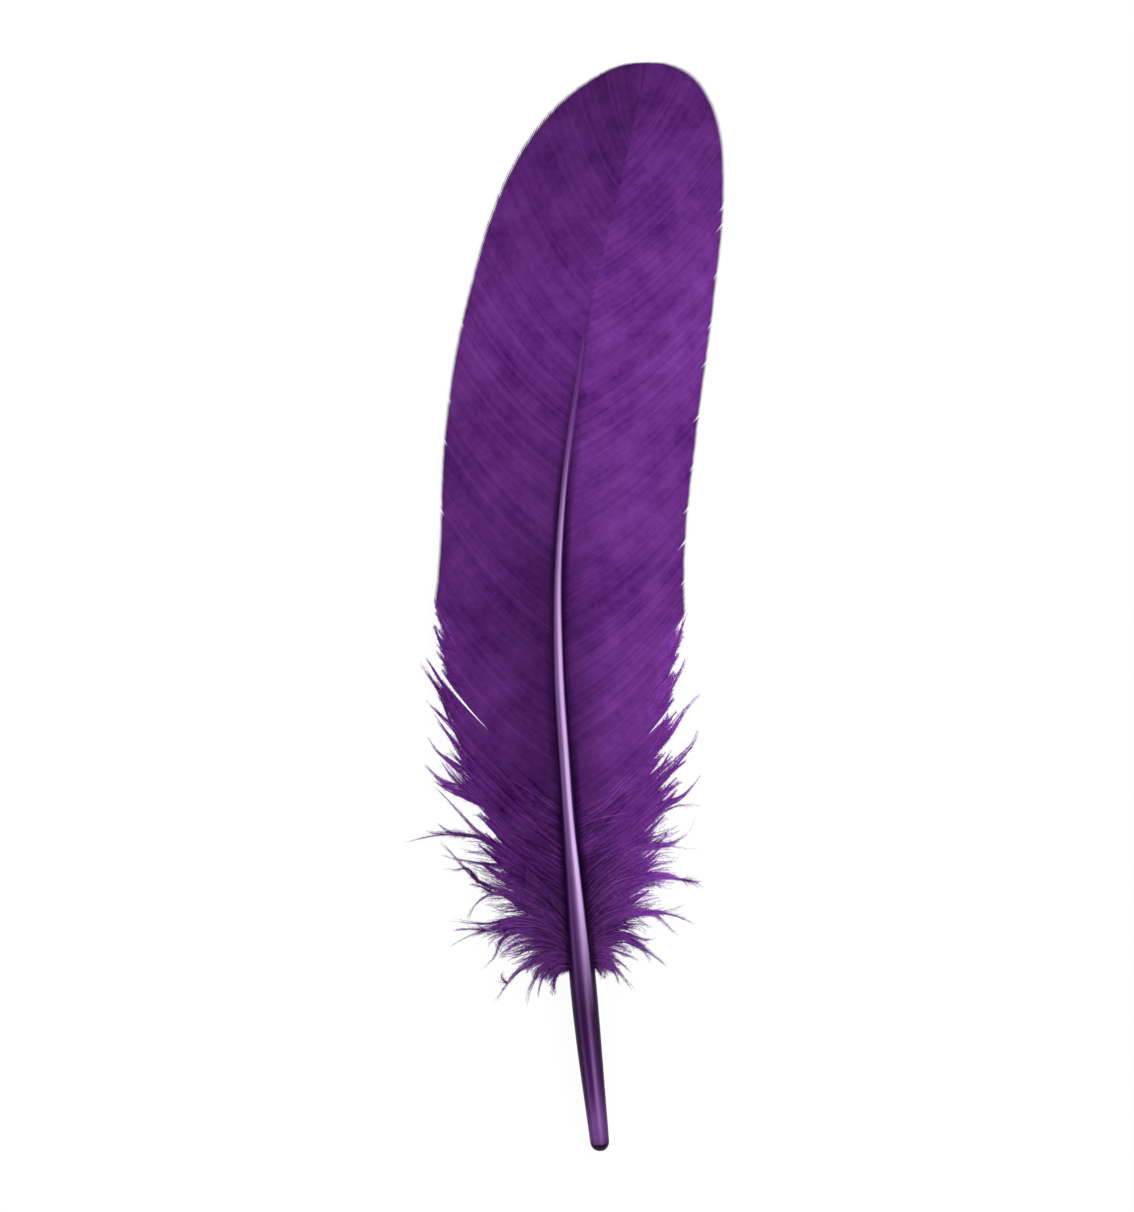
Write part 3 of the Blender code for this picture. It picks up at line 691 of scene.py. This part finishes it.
def wisp_strands(random, side, lines, outline, strands_each, in_vane=False):
    """The strands of wisps, each wisp bundled round its traced line."""
    paths = []
    for half, *points in lines:
        if in_vane:
            start = (1 + TIP_RUNS_IN) * np.array(points[0]) - TIP_RUNS_IN * np.array(points[1])
            points = [tuple(start), *points]
        count = round(strands_each * (WISP_EXTRA + half))
        share = RING_SHARE * random.uniform(*WISP_REACH, count)[:, None]
        offset = random.uniform(-1, 1, count)[:, None] * half * smooth(outline, share)
        fork = random.choice([-1.0, 1.0], count)[:, None] * WISP_FORK * random.uniform(0, 1)
        forked = np.clip((share - FORK_FROM) / (1 - FORK_FROM), 0, 1) ** 1.5
        offset += fork * forked + wavy(random, share, WISP_WAVE)
        flat = move_aside(traced(points, share), offset)
        if in_vane:
            height = vane_height(side, np.array(points))
            height[0] -= TIP_SINKS
            knots = np.column_stack([np.linspace(0, 1, len(points)), height])
            lie = smooth(knots, share) + random.uniform(*TIP_LIFT, count)[:, None]
        else:
            lift = random.uniform(-WISP_LIFT, WISP_LIFT, count)[:, None] * (1 - LIFT_LOST * share)
            lie = down_height(flat) + lift
        paths.append(np.concatenate([flat, lie[..., None]], axis=-1))
    return np.concatenate(paths)


def mass_strands(random, side):
    """The strands of the soft mass, which flow between neighbouring wisps and end near the margin."""
    steps = np.linspace(0, 1, FLOW_STEPS)
    lines = np.array([traced(points, steps) for _, *points in DOWN_WISPS[side]])
    between_lines = (len(lines) - 1.001) * random.uniform(size=MASS_STRANDS) ** MASS_GATHERS
    low = between_lines.astype(int)
    mix = (between_lines - low)[:, None, None]
    flow = lines[low] * (1 - mix) + lines[low + 1] * mix
    along, across = np.array(MARGIN[side]).T
    outside = np.abs(flow[..., 0]) > np.abs(np.interp(flow[..., 1], along, across))
    outside[:, :FLOW_WHOLE] = False
    outside[:, -1] = True
    reach = steps[outside.argmax(axis=1)] * random.uniform(*MASS_REACH, MASS_STRANDS)
    share = RING_SHARE * np.minimum(reach, 1)[:, None]
    at = share * (FLOW_STEPS - 1.001)
    before = at.astype(int)
    which = np.arange(MASS_STRANDS)[:, None]
    part = (at - before)[..., None]
    flat = flow[which, before] * (1 - part) + flow[which, before + 1] * part
    shape = share / share[:, -1:]
    flat = move_aside(flat, wavy(random, shape, MASS_WAVE))
    lift = random.uniform(*MASS_LIFT, MASS_STRANDS)[:, None] * (1 - MASS_LIFT_LOST * shape)
    lie = down_height(flat) + lift
    over = which[:, 0] % OVER_EACH == 0
    above = random.uniform(*OVER_LIFT, over.sum())[:, None] * ease(3 * shape[over])
    lie[over] = vane_height(side, flat[over].reshape(-1, 2)).reshape(-1, STRAND_RINGS) + above
    return np.concatenate([flat, lie[..., None]], axis=-1)


def stray_barbs(random, side):
    """Loose wavy barbs that lie on the lowest part of the vane."""
    count = STRAY_BARBS
    start, stop = STRAY_PLACE
    place = start + (stop - start) * random.uniform(size=(count, 1)) ** STRAY_GATHERS
    share = RING_SHARE * random.uniform(*STRAY_REACH, count)[:, None]
    phase, turns = random.uniform(0, 2 * np.pi, (2, count, 1))
    wave = np.sin(phase + (STRAY_TURNS + turns) * share) - np.sin(phase)
    droop = random.uniform(0, STRAY_DROOP, (count, 1)) * share**1.5
    drift = STRAY_WAVE * wave * share**0.5 - droop
    path = vane_points(side, place + drift, share)
    path[..., 2] += RIDGE_HEIGHT * random.uniform(*STRAY_LIFT, (count, 1))
    return path


def make_down(side, seed):
    random = np.random.default_rng(seed)
    wisps = [
        wisp_strands(random, side, DOWN_WISPS[side], WISP_SHAPE, WISP_STRANDS),
        wisp_strands(random, side, SIDE_WISPS[side], SIDE_SHAPE, WISP_STRANDS / 2),
    ]
    path = np.concatenate([*wisps, mass_strands(random, side)])
    path[..., 2] = np.maximum(path[..., 2], LOWEST / 2)
    count = len(path)
    in_wisps = np.arange(count) < sum(len(wisp) for wisp in wisps)
    thick = STRAND_RADIUS * THINNING * random.uniform(*RADIUS_RANGE, count)[:, None]
    thick = thick * np.where(in_wisps, WISP_THIN, 1)[:, None]
    usual, varies = np.where(in_wisps[:, None], WISP_TONE, MASS_TONE).T
    tone = np.clip(random.normal(usual, varies), 0, 1)
    dye_and_shading = dye_and_painted_light(side, path) * (1 + RING_SHARE)  # lighter towards the tips
    strands, fuzz = Strands(), Strands()
    strands.add(path, flat_sideways(path), thick, thick * STRAND_HEIGHT, tone, dye_and_shading)
    for part, barbules in ((in_wisps, WISP_BARBULES), (~in_wisps, MASS_BARBULES)):
        add_barbules(fuzz, random, side, path[part], tone[part], barbules)
    return strands.make(f"{side}_down", ridged=False), fuzz.make(f"{side}_fuzz", ridged=False)


def shaft_rings():
    """The places of the shaft's rings, their shares of its radius, and which are in the hole."""
    straight = np.linspace(SHAFT_END, QUILL_END + END_ROUNDING, SHAFT_RINGS)
    rounded = QUILL_END + END_ROUNDING * (1 - np.cos(END_TURN))
    depth, hole = np.array(HOLE_RINGS).T
    place = np.concatenate([straight, rounded, QUILL_END + depth])
    scale = np.concatenate([np.ones(SHAFT_RINGS), np.sin(END_TURN), hole])
    return place, scale, np.arange(len(place)) >= len(place) - len(depth)


def shaft_points(place, scale, angle):
    line = smooth(SHAFT_LINE, place)
    radius = smooth(SHAFT_RADIUS, place) * scale
    sunk = SHAFT_SINKS * radius * ease((place - SINKS_FROM) / SINKS_OVER)
    centre = np.stack([line[:, 0], place, line[:, 1] - sunk], -1)
    # The slope is taken over one millimetre.
    slope = smooth(SHAFT_LINE, place + 0.5) - smooth(SHAFT_LINE, place - 0.5)
    forward = unit(np.stack([slope[:, 0], np.ones(len(place)), slope[:, 1]], -1))
    sideways = unit(np.cross(forward, UP))
    up = np.cross(sideways, forward)
    starts = ease((place - GROOVE_FROM[0]) / GROOVE_FROM[1])
    ends = ease((GROOVE_TO[0] - place) / GROOVE_TO[1])
    from_bottom = np.abs((angle + np.pi / 2 + np.pi) % (2 * np.pi) - np.pi)
    groove = GROOVE_DEPTH * np.exp(-((from_bottom / GROOVE_HALF) ** 2))
    reach = radius[:, None] * (1 - groove[None] * (starts * ends)[:, None])
    across = np.cos(angle)[None, :, None] * sideways[:, None]
    return centre[:, None] + reach[..., None] * (across + np.sin(angle)[None, :, None] * up[:, None])


def shaft_values(place, angle, in_hole):
    """What the shaft's material reads at each point."""
    # The painted highlight along the crest.
    painted_highlight, crest_middle, crest_half = smooth(CREST, place).T
    across = 0.5 + np.cos(angle) / 2
    # Painted shade at the quill's open end and inside its hole.
    dark_to = END_DARK[0] + END_DARK[1] * (1 - np.sin(angle))[None]
    past_dark = ease((place[:, None] - QUILL_END - dark_to) / DARK_EDGE + 0.5)
    end_shade = DARKEST + (1 - DARKEST) * past_dark
    end_shade[in_hole] = HOLE_SHADE
    banded = BANDS_AT_END + (1 - BANDS_AT_END) * ease((place - BANDS_GROW[0]) / BANDS_GROW[1])
    banded = banded * (1 - ease((place - BANDS_FADE[0]) / BANDS_FADE[1]))
    return {
        "across": np.tile(across, len(place)),
        "painted_highlight": np.repeat(painted_highlight, SHAFT_SIDES),
        "banded": np.repeat(banded, SHAFT_SIDES),
        "crest": ((across[None] - crest_middle[:, None]) / crest_half[:, None]).ravel(),
        "light": (smooth(SHAFT_LIGHT, place)[:, None] * end_shade).ravel(),
    }


def make_shaft():
    """The shaft: a tapering tube, open at the quill's end, grooved along its underside."""
    place, scale, in_hole = shaft_rings()
    angle = np.arange(SHAFT_SIDES) * 2 * np.pi / SHAFT_SIDES
    points = shaft_points(place, scale, angle).reshape(-1, 3) * MM
    wall, caps = tube_faces(len(place), SHAFT_SIDES)
    mesh = bpy.data.meshes.new("shaft")
    mesh.from_pydata(points.tolist(), [], wall.tolist() + caps.tolist())
    mesh.update()
    mesh.shade_smooth()
    for name, value in shaft_values(place, angle, in_hole).items():
        mesh.attributes.new(name, "FLOAT", "POINT").data.foreach_set("value", value)
    return new_object("shaft", mesh)


class Nodes:
    """Short calls for building one material's node tree."""

    def __init__(self, name):
        self.material = bpy.data.materials.new(name)
        self.material.use_nodes = True
        self.tree = self.material.node_tree
        self.shader = self.tree.nodes["Principled BSDF"]

    def add(self, kind, **settings):
        node = self.tree.nodes.new(kind)
        for name, value in settings.items():
            setattr(node, name, value)
        return node

    def link(self, source, target):
        self.tree.links.new(source, target)

    def attribute(self, name, output="Fac"):
        return self.add("ShaderNodeAttribute", attribute_name=name).outputs[output]

    def constants(self, values):
        for name, value in values.items():
            self.shader.inputs[name].default_value = value

    def math(self, operation, first, second, clamp=False):
        node = self.add("ShaderNodeMath", operation=operation, use_clamp=clamp)
        for socket, value in zip(node.inputs, (first, second)):
            if isinstance(value, (int, float)):
                socket.default_value = value
            else:
                self.link(value, socket)
        return node.outputs[0]

    def ramp(self, source, stops, interpolation="EASE"):
        node = self.add("ShaderNodeValToRGB")
        node.color_ramp.interpolation = interpolation
        while len(node.color_ramp.elements) < len(stops):
            node.color_ramp.elements.new(0.5)
        for element, (position, colour) in zip(node.color_ramp.elements, stops):
            element.position = position
            element.color = (*colour, 1.0)
        self.link(source, node.inputs["Fac"])
        return node.outputs["Color"]

    def noise(self, scale, detail, roughness, vector=None):
        node = self.add("ShaderNodeTexNoise")
        node.inputs["Scale"].default_value = scale
        node.inputs["Detail"].default_value = detail
        node.inputs["Roughness"].default_value = roughness
        if vector is None:
            vector = self.add("ShaderNodeTexCoord").outputs["Object"]
        self.link(vector, node.inputs["Vector"])
        return node.outputs["Fac"]

    def mix_colour(self, factor, first, second, blend="MIX"):
        node = self.add("ShaderNodeMix", data_type="RGBA", blend_type=blend)
        for name, value in (("Factor_Float", factor), ("A_Color", first), ("B_Color", second)):
            socket = next(s for s in node.inputs if s.identifier == name)
            if isinstance(value, (int, float, tuple)):
                socket.default_value = value
            else:
                self.link(value, socket)
        return next(s for s in node.outputs if s.identifier == "Result_Color")

    def bump(self, height, strength, distance):
        """Relief from a value, on the material's surface."""
        node = self.add("ShaderNodeBump")
        node.inputs["Strength"].default_value = strength
        node.inputs["Distance"].default_value = distance
        self.link(height, node.inputs["Height"])
        self.link(node.outputs["Normal"], self.shader.inputs["Normal"])

    def multiply(self, colour, factor):
        """A colour times a factor from a value."""
        node = self.add("ShaderNodeVectorMath", operation="SCALE")
        self.link(colour, node.inputs[0])
        self.link(factor, node.inputs["Scale"])
        return node.outputs[0]


def value_map(nodes, source, low, high, to_low, to_high):
    node = nodes.add("ShaderNodeMapRange")
    node.clamp = True
    for name, value in (("From Min", low), ("From Max", high), ("To Min", to_low), ("To Max", to_high)):
        node.inputs[name].default_value = value
    nodes.link(source, node.inputs["Value"])
    return node.outputs["Result"]


def vane_material(name, deep, light, roughness, gloss):
    nodes = Nodes(name)
    fibre = nodes.add("ShaderNodeSeparateXYZ")
    nodes.link(nodes.attribute("fibre", "Vector"), fibre.inputs[0])
    tone = nodes.math("MULTIPLY", fibre.outputs["Z"], 0.34)
    for scale, detail, amount in DYE_NOISES:
        tone = nodes.math("ADD", tone, nodes.math("MULTIPLY", nodes.noise(scale, detail, 0.55), amount))
    tone = nodes.math("SUBTRACT", tone, 0.33, clamp=True)
    colour = nodes.ramp(tone, ((0.2, deep), (0.8, light)), "LINEAR")
    # Times the dye attribute, which also holds painted shade beside the shaft and painted light on the
    # right side.
    colour = nodes.multiply(colour, nodes.attribute("dye_and_shading"))
    nodes.link(colour, nodes.shader.inputs["Base Color"])
    # Barbules cross each barb at a slant, and the barbs themselves are a little uneven.
    slanted = nodes.math("ADD", nodes.math("MULTIPLY", fibre.outputs["X"], 5.5), fibre.outputs["Y"])
    crossing = nodes.add("ShaderNodeCombineXYZ")
    nodes.link(slanted, crossing.inputs[0])
    nodes.link(nodes.math("MULTIPLY", fibre.outputs["Z"], 37.0), crossing.inputs[1])
    fine = nodes.noise(1.0, 2.0, 0.6, crossing.outputs[0])
    uneven = nodes.noise(1100.0, 2.0, 0.5)
    relief = nodes.math("ADD", nodes.math("MULTIPLY", fine, 0.6), nodes.math("MULTIPLY", uneven, 0.4))
    nodes.bump(relief, 0.5, 0.00012)
    rough = value_map(nodes, relief, 0.35, 0.65, roughness - 0.12, roughness + 0.12)
    nodes.link(rough, nodes.shader.inputs["Roughness"])
    nodes.constants({
        "Specular IOR Level": gloss,
        "Specular Tint": (0.45, 0.08, 0.9, 1.0),
        "Sheen Weight": gloss / 3,
        "Sheen Roughness": 0.4,
        "Sheen Tint": (0.5, 0.2, 0.8, 1.0),
    })
    return nodes.material


def shaft_material():
    """Dyed horn: dark sides of painted shade, a purple back with soft streaks of painted highlight, and a
    painted highlight along the crest higher up.
    """
    nodes = Nodes("dyed_shaft_painted_light")
    # Round the shaft: painted shade at its sides and painted highlight streaks.
    plain = nodes.ramp(nodes.attribute("across"), ROUND_SHADE_AND_HIGHLIGHTS)
    plain = nodes.mix_colour(nodes.attribute("banded"), (0.115, 0.028, 0.18, 1.0), plain)
    # A painted highlight along the crest, with painted shade just to its right.
    crest = value_map(nodes, nodes.attribute("crest"), -3.0, 3.0, 0.0, 1.0)
    strip = nodes.ramp(crest, [(at, (level, level, level)) for at, level in CREST_PROFILE])
    flank = nodes.ramp(crest, ((0.56, (1, 1, 1)), (0.7, (0.2, 0.12, 0.35))))
    painted_highlight = nodes.attribute("painted_highlight")
    shaded = nodes.mix_colour(painted_highlight, plain, nodes.mix_colour(1.0, plain, flank, "MULTIPLY"))
    colour = nodes.mix_colour(nodes.math("MULTIPLY", painted_highlight, strip), shaded, (0.62, 0.4, 0.76, 1.0))
    grain = nodes.noise(60.0, 3.0, 0.6)
    colour = nodes.multiply(colour, value_map(nodes, grain, 0.3, 0.7, 0.88, 1.1))
    colour = nodes.multiply(colour, nodes.attribute("light"))
    nodes.link(colour, nodes.shader.inputs["Base Color"])
    along = nodes.add("ShaderNodeVectorMath", operation="MULTIPLY")
    along.inputs[1].default_value = (3.0, 0.12, 3.0)
    nodes.link(nodes.add("ShaderNodeTexCoord").outputs["Object"], along.inputs[0])
    lengthwise = nodes.noise(1400.0, 3.0, 0.6, along.outputs[0])
    nodes.link(value_map(nodes, lengthwise, 0.3, 0.7, 0.3, 0.5), nodes.shader.inputs["Roughness"])
    nodes.bump(lengthwise, 0.25, 0.00008)
    nodes.constants({"Specular IOR Level": 0.12, "Specular Tint": (0.55, 0.2, 0.9, 1.0)})
    return nodes.material


def make_stage():
    bpy.ops.mesh.primitive_plane_add(size=FLOOR_SIZE, location=(0, 0, -FLOOR_DROP))
    floor = bpy.context.object
    floor.name = "floor"
    nodes = Nodes("pale_floor")
    nodes.constants({
        "Base Color": (0.05, 0.05, 0.05, 1.0),
        "Roughness": 0.9,
        "Specular IOR Level": 0.1,
        "Emission Color": (1.0, 1.0, 1.0, 1.0),
        "Emission Strength": 0.95,
    })
    floor.data.materials.append(nodes.material)


def add_light(name, place, size, power):
    light = bpy.data.lights.new(name, "AREA")
    light.shape = "DISK"
    light.size = size
    light.energy = power
    lamp = bpy.data.objects.new(name, light)
    lamp.location = place
    bpy.context.scene.collection.objects.link(lamp)
    lamp.rotation_euler = (-lamp.location).to_track_quat("-Z", "Y").to_euler()


def make_lights():
    for name, facts in LIGHTS.items():
        add_light(name, *facts)
    world = bpy.data.worlds.new("studio")
    world.use_nodes = True
    sky = world.node_tree.nodes["Background"].inputs
    sky["Color"].default_value = (1, 1, 1, 1)
    sky["Strength"].default_value = SKY_STRENGTH
    bpy.context.scene.world = world


def make_camera():
    camera = bpy.data.cameras.new("camera")
    camera.sensor_fit = "VERTICAL"
    camera.sensor_height = 24.0
    camera.lens = camera.sensor_height * CAMERA_HEIGHT / HEIGHT_SEEN
    holder = bpy.data.objects.new("camera", camera)
    holder.location = (0, 0, CAMERA_HEIGHT)
    bpy.context.scene.collection.objects.link(holder)
    bpy.context.scene.camera = holder


def dress(piece, material):
    piece.data.materials.append(material)
    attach(piece, "root")
    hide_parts("feather")


def main():
    # The vane, down and fuzz colours hold dye with painted shade beside the shaft and painted light on
    # the right side.
    vane = vane_material("dyed_vane_painted_light", (0.045, 0.004, 0.09), (0.15, 0.034, 0.23), 0.65, 0.12)
    down = vane_material("dyed_down_painted_light", (0.04, 0.003, 0.08), (0.19, 0.052, 0.29), 0.75, 0.03)
    fuzz = vane_material("dyed_fuzz_painted_light", (0.045, 0.004, 0.09), (0.22, 0.055, 0.33), 0.8, 0.03)
    dress(make_shaft(), shaft_material())
    for number, side in enumerate((LEFT, RIGHT)):
        dress(make_vane(side, VANE_SEED + number), vane)
        for piece, material in zip(make_down(side, DOWN_SEED + number), (down, fuzz)):
            dress(piece, material)
    make_stage()
    make_lights()
    make_camera()
    bpy.context.scene.view_settings.view_transform = "Standard"


main()
